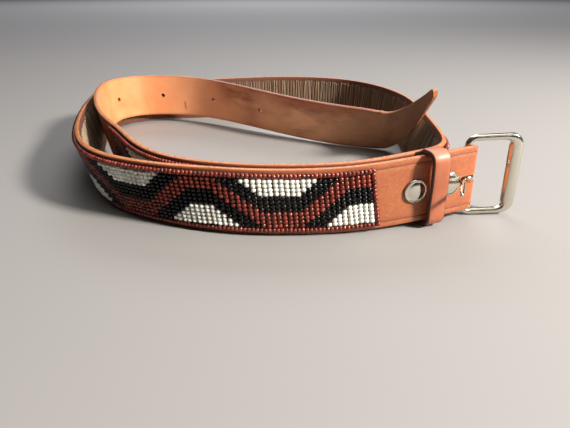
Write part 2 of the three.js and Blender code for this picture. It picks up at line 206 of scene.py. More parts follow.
def flat_height(u, height):
    """The strip's outline: a narrower flap, full width, then the tail's rounded point."""
    if u < FOLD_STATION:
        narrow = FLAP_NARROW * (1 - smooth(u, FOLD_STATION - FOLD_LENGTH, FOLD_STATION))
        return WIDTH / 2 + (height - WIDTH / 2) * (1 - 2 * narrow / WIDTH)
    left = BELT_LENGTH - u
    if left >= TIP_LENGTH:
        return height
    reach = mix(TIP_BLUNT, WIDTH / 2, (left / TIP_LENGTH) ** 1.2)
    if left < TIP_ROUND:
        reach *= math.sqrt(max(1 - (1 - left / TIP_ROUND) ** 2, 0.004))
    side = 1 if height > WIDTH / 2 else -1
    edge = WIDTH / 2 - abs(height - WIDTH / 2)
    squeeze = min(1.0, reach / RIM_ROOM)
    if edge < RIM:
        return WIDTH / 2 + side * (reach - edge * squeeze)
    inner = reach - RIM * squeeze
    return WIDTH / 2 + (height - WIDTH / 2) * inner / (WIDTH / 2 - RIM)


def steps(start, end, step):
    count = max(1, math.ceil((end - start) / step))
    return [start + (end - start) * k / count for k in range(count + 1)]


def loft_mesh(name, rings, closed=False):
    """A closed body through rings of points that run anticlockwise seen from the last ring."""
    size = len(rings[0])
    points = [point for ring in rings for point in ring]
    faces = []
    for r in range(len(rings) if closed else len(rings) - 1):
        here, there = r * size, (r + 1) % len(rings) * size
        for k in range(size):
            n = (k + 1) % size
            faces.append((here + k, here + n, there + n, there + k))
    if not closed:
        last = (len(rings) - 1) * size
        faces.append(tuple(reversed(range(size))))
        faces.append(tuple(range(last, last + size)))
    mesh = bpy.data.meshes.new(name)
    mesh.from_pydata(points, [], faces)
    return mesh


def put_object(name, mesh):
    thing = bpy.data.objects.new(name, mesh)
    scene.collection.objects.link(thing)
    return thing


strip_places = (steps(FLAT_START, FOLD_STATION - FOLD_LENGTH, 2.6)
                + steps(FOLD_STATION - FOLD_LENGTH, FOLD_STATION, 0.5)[1:]
                + steps(FOLD_STATION, BELT_LENGTH - TIP_LENGTH, 2.2)[1:]
                + steps(BELT_LENGTH - TIP_LENGTH, BELT_LENGTH - TIP_ROUND, 1.2)[1:]
                + steps(BELT_LENGTH - TIP_ROUND, BELT_LENGTH, 0.3)[1:])
strip = put_object("strap_flat", loft_mesh("strap_flat", [
    [Vector((u, flat_height(u, h), d)) for h, d in strap_ring] for u in strip_places]))

SLOT_END = 11.3
SLOT_HALF = 2.0
HOLES = (1053, 1092, 1138, 1184)
HOLE_RADIUS = 1.6
SNAPS = (17, 35)
SNAP_HOLE_RADIUS = 2.0
PUNCH_REACH = 4.0


def punch(name, outline):
    """A cutter through the flat strip with this outline in u and height."""
    low = [Vector((u, h, -PUNCH_REACH)) for u, h in outline]
    high = [Vector((u, h, PUNCH_REACH)) for u, h in outline]
    return put_object(name, loft_mesh(name, [low, high]))


def round_outline(u, radius, start=0.0, end=2 * math.pi, count=24):
    return [(u + radius * math.cos(start + (end - start) * k / count),
             WIDTH / 2 + radius * math.sin(start + (end - start) * k / count))
            for k in range(count)]


slot_back = behind(SLOT_END) + SLOT_HALF
punches = [punch("slot_punch",
                 round_outline(SLOT_END - SLOT_HALF, SLOT_HALF, -math.pi / 2, math.pi / 2, 12)
                 + round_outline(slot_back, SLOT_HALF, math.pi / 2, 1.5 * math.pi, 12))]
for s in HOLES:
    punches.append(punch("hole_punch", round_outline(s, HOLE_RADIUS)))
for s in SNAPS:
    for place in (s, behind(s)):
        punches.append(punch("snap_punch", round_outline(place, SNAP_HOLE_RADIUS)))
for cutter in punches:
    cut = strip.modifiers.new("punch", "BOOLEAN")
    cut.object = cutter
    cut.solver = "EXACT"
strap_mesh = bpy.data.meshes.new_from_object(
    strip.evaluated_get(bpy.context.evaluated_depsgraph_get()))
for used in [strip] + punches:
    bpy.data.objects.remove(used)

flat_places = [Vector(vertex.co) for vertex in strap_mesh.vertices]
axes_at = {}
for vertex, flat in zip(strap_mesh.vertices, flat_places):
    key = round(flat.x, 4)
    if key not in axes_at:
        axes_at[key] = bent_axes(flat.x)
    up, out, foot = axes_at[key]
    vertex.co = (foot + up * flat.y + out * flat.z) * MM
flat_lay = strap_mesh.attributes.new("flat", "FLOAT_VECTOR", "POINT")
for item, flat in zip(flat_lay.data, flat_places):
    item.vector = flat
strap_mesh.shade_smooth()
strap_mesh.set_sharp_from_angle(angle=math.radians(38))
strap = put_object("strap_leather", strap_mesh)


def linear(code):
    """An sRGB hex colour as linear red, green, blue and alpha."""
    parts = [int(code[k:k + 2], 16) / 255 for k in (1, 3, 5)]
    return [p / 12.92 if p <= 0.04045 else ((p + 0.055) / 1.055) ** 2.4 for p in parts] + [1.0]


def put(tree, kind, feeds=None, **settings):
    """Add a node, set it up, and feed its sockets with values or other nodes' outputs."""
    node = tree.nodes.new(kind)
    for name, value in settings.items():
        setattr(node, name, value)
    for key, value in (feeds or {}).items():
        if isinstance(value, bpy.types.NodeSocket):
            tree.links.new(value, node.inputs[key])
        else:
            node.inputs[key].default_value = value
    return node


def start_material(name):
    material = bpy.data.materials.new(name)
    material.use_nodes = True
    tree = material.node_tree
    tree.nodes.clear()
    shader = put(tree, "ShaderNodeBsdfPrincipled")
    put(tree, "ShaderNodeOutputMaterial", {"Surface": shader.outputs["BSDF"]})
    return material, tree, shader


# Drum-dyed vegetable-tanned leather: a plated grain side with faint pores, a creased line
# along each edge and a soft shine, with painted shade on the grain beside the beads, pale shaved
# edges, and a napped flesh side with painted shade where the thread lies, bright orange further
# on, and brown and smudged where the tail was handled, with patches of painted light on the
# tail.
strap_leather, tree, shader = start_material("veg_tan_leather_plated_grain")
flat = put(tree, "ShaderNodeAttribute", attribute_name="flat").outputs["Vector"]
parts = put(tree, "ShaderNodeSeparateXYZ", {"Vector": flat})


def ramp(value, start, end, low=0.0, high=1.0, tree=tree):
    return put(tree, "ShaderNodeMapRange", {
        "Value": value, "From Min": start, "From Max": end, "To Min": low,
        "To Max": high}).outputs["Result"]


def blend(share, first, second, tree=tree):
    return put(tree, "ShaderNodeMix", {"Factor": share, "A": first, "B": second},
               data_type="RGBA").outputs["Result"]


def work(operation, *values, tree=tree):
    return put(tree, "ShaderNodeMath", dict(enumerate(values)), operation=operation).outputs[0]


def times(first, second):
    return work("MULTIPLY", first, second)


def away_from(value, middle):
    return work("ABSOLUTE", work("SUBTRACT", value, middle))


def clouds(scale, detail=3.0, warp=0.0, stretch=(1.0, 1.0, 1.0)):
    spread = put(tree, "ShaderNodeMapping", {"Vector": flat, "Scale": stretch})
    return put(tree, "ShaderNodeTexNoise", {
        "Vector": spread.outputs["Vector"], "Scale": scale, "Detail": detail,
        "Roughness": 0.55, "Distortion": warp}).outputs["Fac"]


along_belt, up_width, depth = (parts.outputs[axis] for axis in "XYZ")
from_middle = away_from(up_width, WIDTH / 2)
grain_share = ramp(depth, 0.85, 1.0)
flesh_share = ramp(depth, -1.0, -1.15)
crease_share = ramp(away_from(from_middle, WIDTH / 2 - CREASES[0]), 0.42, 0.12)
dye = blend(ramp(clouds(0.07, 4.0), 0.3, 0.7), linear("#98522F"), linear("#AB633D"))
dye = blend(ramp(clouds(0.9, 2.0), 0.45, 0.75, 0.0, 0.5), dye, linear("#BC7C58"))
dye = blend(ramp(clouds(0.45, 3.0, stretch=(0.3, 1, 1)), 0.58, 0.8, 0.0, 0.35),
            dye, linear("#7A3C20"))
grain_colour = blend(times(crease_share, 0.8), dye, linear("#5C2814"))
beaded_share = times(ramp(along_belt, 50.0, 54.0), ramp(along_belt, 944.0, 938.0))
# painted shade: the grain side's margins along both edges beside the beads darken to near-black
# brown, fading in from station 70
painted_margin_shade = times(times(beaded_share, ramp(along_belt, 70.0, 150.0)),
              ramp(from_middle, 15.7, 14.9, 0.0, 0.8))
grain_colour = blend(painted_margin_shade, grain_colour, linear("#3A1A10"))    # painted shade beside the beads

# The flesh side: tan from the beads to the holes with painted light making it paler toward the
# tail, browner and smudged on the tail, with painted shade behind the beads
DENT_STATION, DENT_HEIGHT = 1111.0, 8.5
SMEAR_STATION = 1165.0
tail_share = ramp(along_belt, 1105.0, 1215.0)
end_share = ramp(along_belt, 1255.0, 1325.0)
tan = blend(ramp(clouds(0.05, 3.0), 0.35, 0.65), linear("#D88650"), linear("#E39A68"))
# painted light: the tan turns paler from 1080 to 1130 mm, where the strap turns away from the
# main light
tan = blend(ramp(along_belt, 1080.0, 1130.0), tan, linear("#E6AC80"))
worn = blend(ramp(clouds(0.045, 4.0, 0.3, (0.45, 1, 1)), 0.36, 0.64),
             linear("#E2AA80"), linear("#C08864"))
stain = ramp(clouds(0.09, 4.0, 0.3, (0.45, 1, 1)), 0.5, 0.68, 0.0, 0.8)
worn = blend(stain, worn, linear("#986048"))
worn = blend(ramp(clouds(0.13, 5.0, 0.5), 0.55, 0.7, 0.0, 0.6), worn, linear("#CC9C70"))
smear = times(ramp(away_from(along_belt, SMEAR_STATION), 26.0, 8.0), ramp(up_width, 12.0, 20.0))
smear = times(smear, ramp(clouds(0.1, 4.0, 0.4, (0.4, 1, 1)), 0.4, 0.6))
flesh = blend(tail_share, tan, worn)
flesh = blend(times(smear, 0.85), flesh, linear("#8E5034"))
# painted light: pale cloudy patches from 1175 to 1290 mm brighten the tail where it turns away
# from the main light
painted_light_and_red_span = times(ramp(along_belt, 1175.0, 1215.0), ramp(along_belt, 1290.0, 1250.0))
flesh = blend(times(painted_light_and_red_span, ramp(clouds(0.09, 4.0, 0.4, (0.5, 1, 1)), 0.3, 0.6)),
              flesh, linear("#F0B488"))
# over the same stretch, redder toward the upper edge
flesh = blend(times(painted_light_and_red_span, ramp(up_width, 22.0, 30.0, 0.0, 0.6)), flesh, linear("#B86040"))
flesh = blend(times(end_share, 0.8), flesh, linear("#9C7458"))
# painted shade: the flesh side behind the beads, where the thread lies, is darkened to dark
# brown
flesh = blend(beaded_share, flesh, linear("#5A3626"))
dent = times(ramp(away_from(along_belt, DENT_STATION), 1.4, 0.2),
             ramp(away_from(up_width, DENT_HEIGHT), 4.5, 2.0))
flesh = blend(times(dent, 0.6), flesh, linear("#7A3C22"))
flesh_colour = blend(ramp(from_middle, 14.2, 15.9, 0.0, 0.5), flesh, linear("#8A4024"))

# The cut edge: pale and fuzzy, dulled along the tail, and pale again at its point
cut_colour = blend(ramp(clouds(1.3, 3.0), 0.4, 0.62), linear("#C88450"), linear("#8A4E2C"))
dull_edge = times(ramp(along_belt, 1115.0, 1150.0), ramp(along_belt, 1282.0, 1268.0))
cut_colour = blend(times(dull_edge, 0.8), cut_colour, linear("#6E3620"))
outer = blend(grain_share, cut_colour, grain_colour)
leather_colour = blend(flesh_share, outer, flesh_colour)

pores = put(tree, "ShaderNodeTexVoronoi", {  # pores 0.7 mm apart
    "Vector": flat, "Scale": 1.4}).outputs["Distance"]
hide = work("ADD", times(pores, 0.6), clouds(0.8, 4.0))     # pores and soft wrinkles
nap = clouds(2.0)                                           # flesh nap about 0.5 mm
relief = put(tree, "ShaderNodeMix", {"Factor": flesh_share, "A": hide, "B": nap})
pressed = work("SUBTRACT", relief.outputs["Result"], times(dent, 2.5))
bump = put(tree, "ShaderNodeBump", {
    "Height": pressed, "Strength": 0.45, "Distance": 0.12 * MM})
tree.links.new(leather_colour, shader.inputs["Base Color"])
tree.links.new(work("ADD", ramp(flesh_share, 0.0, 1.0, 0.44, 0.66), ramp(
    clouds(0.2, 3.0), 0.3, 0.7, -0.06, 0.08)), shader.inputs["Roughness"])
tree.links.new(bump.outputs["Normal"], shader.inputs["Normal"])
strap.data.materials.append(strap_leather)
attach(strap, "belt")
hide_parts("strap")

# ------------------------------------------------------------------------------------------
# The embroidery: glass seed beads, 2.5 mm across and 1.9 mm long, sewn to the grain side in
# columns of twelve that lean a little, with a row of red ones lying along each edge.
# ------------------------------------------------------------------------------------------
BEAD_START = 53.5
BEAD_END = 940.0
BEAD_WIDE = 2.52
BEAD_LONG = 1.93
ROW_PITCH = 1.97
BEAD_DEPTH = LEATHER / 2 + 0.05 + BEAD_WIDE / 2
BEAD_SIDES = 10
BEAD_TILT = 5.0         # degrees each way
COLUMN_COUNT = 357      # with the plain red one at each end
COLUMN_ROWS = 12
END_ROWS = 15
EDGE_HEIGHTS = (29.6, 3.2)
EDGE_PITCH = 1.9
TOP_ROW = (sum(EDGE_HEIGHTS) + ROW_PITCH * (COLUMN_ROWS - 1)) / 2
ROW_LEAN = 0.2          # how far each row lies along the belt from the one below it
CHART_REPEAT = 29.0     # columns
CHART_PEAK = 16.5       # the column in which the red band stands highest
BAND_HIGH, BAND_LOW = -1.0, 8.0             # its top row on the level stretches
BAND_SLOPE_START = 11.5
BAND_MIDDLE = 1.5       # rows below its top row
RED_REACH, BLACK_REACH = 1.8, 5.8           # rows from its middle
ANY_ROW = (-1.0, 99.0)


def lathe_mesh(name, profile, sides):
    """A body turned about Z from (radius, height) pairs that run from its top down."""
    rings = [[Vector((r * math.cos(2 * math.pi * k / sides),
                      r * math.sin(2 * math.pi * k / sides), h)) for k in range(sides)]
             for r, h in reversed(profile)]
    return loft_mesh(name, rings)


bead_profile = [(0.48, 0.5), (0.87, 0.37), (1.0, 0.0), (0.87, -0.37), (0.48, -0.5)]
bead_form = put_object("bead_form", lathe_mesh("bead_form", [
    (r * BEAD_WIDE / 2 * MM, h * BEAD_LONG * MM) for r, h in bead_profile], BEAD_SIDES))
bead_form.data.shade_smooth()


def stitch_table(name, rows):
    """One vertex for each place of sewing, with what the sewing tree needs as attributes."""
    mesh = bpy.data.meshes.new(name)
    mesh.from_pydata([Vector(row["foot"]) * MM for row in rows], [], [])
    kinds = {"up": "FLOAT_VECTOR", "out": "FLOAT_VECTOR", "column": "FLOAT", "rows": "INT",
             "top": "FLOAT", "pitch": "FLOAT", "lean": "FLOAT", "lying": "FLOAT",
             "charted": "FLOAT"}
    for key, kind in kinds.items():
        layer = mesh.attributes.new(key, kind, "POINT")
        for item, row in zip(layer.data, rows):
            setattr(item, "vector" if kind == "FLOAT_VECTOR" else "value", row[key])
    return mesh


def stitch(s, column=0, rows=1, top=WIDTH / 2, pitch=0.0, lean=0.0, lying=0.0, charted=0.0):
    """One row of the table: pieces at station s, from height top down the width."""
    _, up, out, foot = strap_axes(s)
    return {"foot": foot, "up": up, "out": out, "column": column, "rows": rows,
            "top": top * MM, "pitch": pitch * MM, "lean": lean, "lying": lying,
            "charted": charted}


# The tree that sews: each vertex of the table becomes a column of pieces on the strap
sew = bpy.data.node_groups.new("sew_on", "GeometryNodeTree")
sockets = {}
for name, kind in (("Geometry", "Geometry"), ("Piece", "Object"), ("Depth", "Float"),
                   ("Nearest", "Float"), ("Furthest", "Float"), ("Tilt", "Vector"),
                   ("Seed", "Int"), ("Material", "Material")):
    sockets[name] = sew.interface.new_socket(
        name, in_out="INPUT", socket_type="NodeSocket" + kind).identifier
sew.interface.new_socket("Geometry", in_out="OUTPUT", socket_type="NodeSocketGeometry")
given = put(sew, "NodeGroupInput").outputs


def read(name, kind="FLOAT"):
    return put(sew, "GeometryNodeInputNamedAttribute", {"Name": name},
               data_type=kind).outputs["Attribute"]


def reckon(operation, *values):
    return work(operation, *values, tree=sew)


def steer(operation, *values, scale=None):
    """A vector operation in the sewing tree."""
    feeds = dict(enumerate(values))
    if scale is not None:
        feeds["Scale"] = scale
    return put(sew, "ShaderNodeVectorMath", feeds, operation=operation).outputs[0]


places = put(sew, "GeometryNodeMeshToPoints", {"Mesh": given["Geometry"]})
copies = put(sew, "GeometryNodeDuplicateElements", {
    "Geometry": places.outputs[0], "Amount": read("rows", "INT")}, domain="POINT")
keep_row = put(sew, "GeometryNodeStoreNamedAttribute", {
    "Geometry": copies.outputs["Geometry"], "Name": "row",
    "Value": copies.outputs["Duplicate Index"]}, data_type="INT", domain="POINT")
up_axis, out_axis = read("up", "FLOAT_VECTOR"), read("out", "FLOAT_VECTOR")
to_buckle = steer("CROSS_PRODUCT", up_axis, out_axis)
height = reckon("SUBTRACT", read("top"), reckon("MULTIPLY", read("row", "INT"), read("pitch")))
rise = steer("SCALE", up_axis, scale=height)
stand = steer("SCALE", out_axis, scale=given["Depth"])
slip = steer("SCALE", to_buckle, scale=reckon("MULTIPLY", read("lean"), height))
placed = put(sew, "GeometryNodeSetPosition", {
    "Geometry": keep_row.outputs[0],
    "Offset": steer("ADD", steer("ADD", rise, stand), slip)})
# The chart, column by column: a red band four beads high climbs and falls between two level
# stretches, with four black beads on each side of it and white beyond them.
phase = reckon("MODULO", read("column"), CHART_REPEAT)
band_top = reckon("MINIMUM", BAND_LOW, reckon("MAXIMUM", BAND_HIGH, reckon(
    "SUBTRACT", BAND_SLOPE_START, reckon(
        "ABSOLUTE", reckon("SUBTRACT", phase, CHART_PEAK)))))
from_band = reckon("ABSOLUTE", reckon("SUBTRACT", reckon(
    "SUBTRACT", read("row", "INT"), band_top), BAND_MIDDLE))
from_band = reckon("MULTIPLY", from_band, read("charted"))
wanted = reckon("MULTIPLY", reckon("GREATER_THAN", from_band, given["Nearest"]),
                reckon("LESS_THAN", from_band, given["Furthest"]))
piece_axis = put(sew, "ShaderNodeMix", {
    0: read("lying"), 4: up_axis, 5: to_buckle}, data_type="VECTOR")
facing = put(sew, "FunctionNodeAxesToRotation", {
    0: piece_axis.outputs[1], 1: out_axis}, primary_axis="Z", secondary_axis="X")
tilt = put(sew, "FunctionNodeRandomValue", {
    0: steer("SCALE", given["Tilt"], scale=-1.0), 1: given["Tilt"], "Seed": given["Seed"]},
    data_type="FLOAT_VECTOR")
tilted = put(sew, "FunctionNodeRotateRotation", {
    0: facing.outputs[0], 1: tilt.outputs[0]}, rotation_space="LOCAL")
size = put(sew, "FunctionNodeRandomValue", {
    0: (0.9, 0.9, 0.93), 1: (1.04, 1.04, 1.03), "Seed": given["Seed"]},
    data_type="FLOAT_VECTOR")
form = put(sew, "GeometryNodeObjectInfo", {"Object": given["Piece"]})
sewn = put(sew, "GeometryNodeInstanceOnPoints", {
    "Points": placed.outputs[0], "Selection": wanted, "Instance": form.outputs["Geometry"],
    "Rotation": tilted.outputs[0], "Scale": size.outputs[0]})
tone = put(sew, "FunctionNodeRandomValue", {"Seed": given["Seed"]}, data_type="FLOAT")
toned = put(sew, "GeometryNodeStoreNamedAttribute", {
    "Geometry": sewn.outputs[0], "Name": "tone", "Value": tone.outputs[1]},
    data_type="FLOAT", domain="INSTANCE")
solid = put(sew, "GeometryNodeRealizeInstances", {0: toned.outputs[0]})
dressed = put(sew, "GeometryNodeSetMaterial", {
    0: solid.outputs[0], "Material": given["Material"]})
put(sew, "NodeGroupOutput", {0: dressed.outputs[0]})


def sew_on(name, table, values):
    """Run the sewing tree over a stitch table and keep its result as a plain mesh."""
    worker = put_object(name + "_stitches", table)
    modifier = worker.modifiers.new("sew_on", "NODES")
    modifier.node_group = sew
    for key, value in values.items():
        modifier[sockets[key]] = value
    bpy.context.view_layer.update()
    mesh = bpy.data.meshes.new_from_object(
        worker.evaluated_get(bpy.context.evaluated_depsgraph_get()))
    bpy.data.objects.remove(worker)
    mesh.name = name
    return put_object(name, mesh)


def toned_material(name, dark, light):
    """A material in which each sewn piece is a little lighter or darker."""
    material, tree, shader = start_material(name)
    tone = put(tree, "ShaderNodeAttribute", attribute_name="tone").outputs["Fac"]
    tree.links.new(blend(tone, linear(dark), linear(light), tree), shader.inputs["Base Color"])
    return material, shader


def glass(name, dark, light, roughness, shine=0.5, depth=0.0):
    """Pressed glass with a hard even gloss; depth is the share of light that it lets in."""
    material, shader = toned_material(name, dark, light)
    shader.inputs["Roughness"].default_value = roughness
    shader.inputs["IOR"].default_value = 1.52
    shader.inputs["Specular IOR Level"].default_value = shine
    shader.inputs["Subsurface Weight"].default_value = depth
    shader.inputs["Subsurface Radius"].default_value = (1.0, 1.0, 0.9)
    shader.inputs["Subsurface Scale"].default_value = 0.8 * MM
    return material


first_column, last_column = BEAD_START + BEAD_WIDE / 2, BEAD_END - BEAD_WIDE / 2
column_pitch = (BEAD_END - BEAD_START - BEAD_WIDE) / (COLUMN_COUNT - 1)
column_lean = -ROW_LEAN / ROW_PITCH
unsteady = random.Random(29)
column_table = []
for k in range(1, COLUMN_COUNT - 1):
    middle = first_column + k * column_pitch
    lean = column_lean * unsteady.uniform(0.8, 1.2)
    column_table.append(stitch(
        middle + WIDTH / 2 * lean, column=k - 1, rows=COLUMN_ROWS, lean=lean, charted=1.0,
        top=TOP_ROW + unsteady.uniform(-0.22, 0.22),
        pitch=ROW_PITCH * unsteady.uniform(0.99, 1.01)))
edges_apart = EDGE_HEIGHTS[0] - EDGE_HEIGHTS[1]
edge_table = [stitch(s, rows=2, top=EDGE_HEIGHTS[0], pitch=edges_apart, lying=1.0)
              for s in steps(BEAD_START + 2.4, BEAD_END - 2.4, EDGE_PITCH)]
for s in (first_column, last_column):
    edge_table.append(stitch(
        s + WIDTH / 2 * column_lean, rows=END_ROWS, top=EDGE_HEIGHTS[0] + 0.1,
        pitch=(edges_apart + 0.2) / (END_ROWS - 1), lean=column_lean))
red_glass = glass("pressed_glass_brick_red", "#501A10", "#843020", 0.2)
for colour, rows, nearest, furthest, seed, material in (
        ("red", column_table, ANY_ROW[0], RED_REACH, 3, red_glass),
        ("edge_rows", edge_table, ANY_ROW[0], RED_REACH, 9, red_glass),
        ("black", column_table, RED_REACH, BLACK_REACH, 5,
         glass("pressed_glass_black", "#010102", "#030304", 0.08, shine=0.33)),
        ("white", column_table, BLACK_REACH, ANY_ROW[1], 7,
         glass("pressed_glass_chalk_white", "#D6D5CA", "#F4F3EA", 0.25, depth=0.5))):
    beads = sew_on("beads_" + colour, stitch_table("beads_" + colour, rows), {
        "Piece": bead_form, "Depth": BEAD_DEPTH * MM, "Nearest": nearest,
        "Furthest": furthest, "Tilt": [math.radians(BEAD_TILT)] * 3, "Seed": seed,
        "Material": material})
    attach(beads, "belt")
    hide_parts("bead_panel")
bpy.data.objects.remove(bead_form)

# ------------------------------------------------------------------------------------------
# The sewing thread: waxed cream thread that comes through to the flesh side, two strands up
# the strap's width behind each column of beads.
# ------------------------------------------------------------------------------------------
THREAD_WIDE = 0.62
THREAD_LOW = 3.0
THREAD_HIGH = 29.0
THREAD_SUNK = 0.1       # into the flesh side
THREAD_SIDES = 6
TAPER = 0.8             # each strand thins where it goes into the leather
END_SHARE = 0.3
STRAND_OFF = 0.42       # each strand to its side of the column
THREAD_TILT = (3.2, 0.5, 0.0)               # degrees each way
thread_half = (THREAD_HIGH - THREAD_LOW) / 2
thread_radius = THREAD_WIDE / 2
thread_form = put_object("thread_form", lathe_mesh("thread_form", [
    (r * MM, h * MM) for r, h in (
        (END_SHARE * thread_radius, thread_half), (thread_radius, thread_half - TAPER),
        (thread_radius, TAPER - thread_half), (END_SHARE * thread_radius, -thread_half))],
    THREAD_SIDES))
thread_form.data.shade_smooth()
thread_table = []
for k in range(COLUMN_COUNT):
    middle = first_column + k * column_pitch
    thread_table += [stitch(middle - STRAND_OFF), stitch(middle + STRAND_OFF)]
thread_material, shader = toned_material("waxed_cotton_thread", "#5A483A", "#A08A6E")
shader.inputs["Roughness"].default_value = 0.6
threads = sew_on("sewing_threads", stitch_table("sewing_threads", thread_table), {
    "Piece": thread_form, "Depth": (THREAD_SUNK - LEATHER / 2 - thread_radius) * MM,
    "Nearest": ANY_ROW[0], "Furthest": ANY_ROW[1], "Seed": 11,
    "Tilt": [math.radians(angle) for angle in THREAD_TILT], "Material": thread_material})
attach(threads, "belt")
bpy.data.objects.remove(thread_form)

# ------------------------------------------------------------------------------------------
# The keeper: a strip of the same leather, bent into a loop that stands loose round the strap
# and its flap, with room in front for the tail.
# ------------------------------------------------------------------------------------------
KEEPER_STATION = 30.5
KEEPER_WIDE = 8.8
KEEPER_LEATHER = 2.2
KEEPER_BEND = -1.6      # depth behind which it slopes in to the narrower flap
ROOM_HIGH = 4.4         # in front of the strap, for the tail
ROOM_LOW = 2.6
SAG = 0.4               # how far it hangs below the strap
PAINTED_HIGHLIGHT_PLACE = (5.6, 33.8)                  # depth and height of its top front corner
PAINTED_HIGHLIGHT_REACH = 5.0


def strap_matrix(s):
    """Axes on the strap: x back to the buckle, y up the width, z out of the grain side."""
    _, up, out, foot = strap_axes(s)
    back = up.cross(out)
    return Matrix((
        (back.x, up.x, out.x, foot.x), (back.y, up.y, out.y, foot.y),
        (back.z, up.z, out.z, foot.z), (0, 0, 0, 1)))


def to_place(matrix, points):
    return [(matrix @ Vector(point)) * MM for point in points]


def loop_outline(grow):
    """The loop in (depth, height), grow outside its inner wall, as CAD has it."""
    left = -(LEATHER / 2 + FLAP_DEPTH + 1.3 * GAP) - grow
    low, high = -SAG - grow, WIDTH + GAP + grow
    low_back, high_back = low + FLAP_NARROW, high - FLAP_NARROW
    right, low_right = LEATHER / 2 + ROOM_HIGH + grow, LEATHER / 2 + ROOM_LOW + grow
    turn, back_turn = 3.6 + grow, 1.0 + grow
    corner = [(low_right - turn, low), (low_right, low), (low_right, low + turn)]
    spans = [(corner[0], corner[1], corner[1], corner[2], 10),
             (corner[2], (low_right, 10.0), (right, 18.0), (right, high - turn), 14),
             ((right, high - turn), (right, high), (right, high), (right - turn, high), 10),
             ((right - turn, high), None, None, (KEEPER_BEND, high), 5),
             ((KEEPER_BEND, high), None, None, (left + back_turn, high_back), 4),
             ((left + back_turn, high_back), (left, high_back), (left, high_back),
              (left, high_back - back_turn), 6),
             ((left, high_back - back_turn), None, None, (left, low_back + back_turn), 12),
             ((left, low_back + back_turn), (left, low_back), (left, low_back),
              (left + back_turn, low_back), 6),
             ((left + back_turn, low_back), None, None, (KEEPER_BEND, low), 4),
             ((KEEPER_BEND, low), None, None, corner[0], 5)]
    points = []
    for start, first, second, end, count in spans:
        for k in range(count):
            t = k / count
            if first is None:
                points.append((mix(start[0], end[0], t), mix(start[1], end[1], t)))
            elif first == second:
                points.append(tuple((1 - t) ** 2 * a + 2 * t * (1 - t) * b + t * t * c
                                    for a, b, c in zip(start, first, end)))
            else:
                points.append(tuple(
                    (1 - t) ** 3 * a + 3 * t * (1 - t) ** 2 * b + 3 * t * t * (1 - t) * c
                    + t**3 * d for a, b, c, d in zip(start, first, second, end)))
    return points


# The strip's section: (share of the thickness, place across the width)
keeper_section = [(0, 0.40), (0.12, 0.475), (0.3, 0.5), (0.7, 0.5), (0.9, 0.47), (1, 0.40),
                  (1, 0.14), (1, -0.14)]
keeper_section += [(share, -across) for share, across in reversed(keeper_section[:6])]
inner_loop, outer_loop = loop_outline(0.0), loop_outline(KEEPER_LEATHER)
keeper_matrix = strap_matrix(KEEPER_STATION - KEEPER_WIDE / 2)
keeper_rings = []
for (d0, h0), (d1, h1) in zip(inner_loop, outer_loop):
    keeper_rings.append(to_place(keeper_matrix, [
        (across * KEEPER_WIDE, mix(h0, h1, share), mix(d0, d1, share))
        for share, across in keeper_section]))
keeper = put_object("keeper_loop", loft_mesh("keeper_loop", keeper_rings, closed=True))
keeper.data.shade_smooth()
keeper.data.set_sharp_from_angle(angle=math.radians(50))
# Where the edge carries painted shade (x) and how far the painted highlight reaches on the
# outside (y)
painted_shade_and_highlight = keeper.data.attributes.new("painted_shade_and_highlight", "FLOAT_VECTOR", "POINT")
count = len(keeper_section)
for k, (depth_here, height_here) in enumerate(outer_loop):
    # painted highlight: strongest at the top front corner of the outside, fading within 5 mm
    painted_highlight_share = max(0.0, 1 - math.dist((depth_here, height_here), PAINTED_HIGHLIGHT_PLACE) / PAINTED_HIGHLIGHT_REACH)
    for i, (share, across) in enumerate(keeper_section):
        # painted shade on the cut edges
        on_edge = smooth(abs(across), 0.43, 0.475)
        painted_shade_and_highlight.data[k * count + i].vector = (on_edge, painted_highlight_share * (share > 0.95), 0)

# The same leather, read from Object coordinates: its cut edges carry painted shade, nearly
# black, and its top front corner a pale painted highlight
keeper_leather, tree, shader = start_material("veg_tan_leather_keeper")
place = put(tree, "ShaderNodeTexCoord").outputs["Object"]
cloud = put(tree, "ShaderNodeTexNoise", {"Vector": place, "Scale": 110.0, "Detail": 4.0})
dye = blend(cloud.outputs["Fac"], linear("#955034"), linear("#B06848"), tree)
painted_shade_and_highlight = put(tree, "ShaderNodeSeparateXYZ", {
    "Vector": put(tree, "ShaderNodeAttribute", attribute_name="painted_shade_and_highlight").outputs["Vector"]})
# painted highlight: the top front corner paler
with_painted_highlight = blend(ramp(painted_shade_and_highlight.outputs["Y"], 0.0, 1.0, 0.0, 0.8, tree), dye, linear("#BE8062"), tree)
# painted shade: the cut edges darkened nearly black
edged = blend(ramp(painted_shade_and_highlight.outputs["X"], 0.2, 0.8, 0.0, 0.92, tree), with_painted_highlight, linear("#2A130C"),
              tree)
pores = put(tree, "ShaderNodeTexVoronoi", {"Vector": place, "Scale": 1400.0})
bump = put(tree, "ShaderNodeBump", {
    "Height": pores.outputs["Distance"], "Strength": 0.25, "Distance": 0.12 * MM})
tree.links.new(edged, shader.inputs["Base Color"])
tree.links.new(bump.outputs["Normal"], shader.inputs["Normal"])
shader.inputs["Roughness"].default_value = 0.46
keeper.data.materials.append(keeper_leather)
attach(keeper, "belt")
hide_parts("keeper")

# ------------------------------------------------------------------------------------------
# The press studs: domed brass caps, nickel-plated, with a rolled rim, riveted through the
# strap to a socket. Their studs sit behind on the flap and keep the CAD shape.
# ------------------------------------------------------------------------------------------
cap_face = LEATHER / 2 + GAP
socket_face = -cap_face
RIVET_RADIUS = 1.7
SOCKET_RADIUS = 4.4
CAP_SIDES = 48

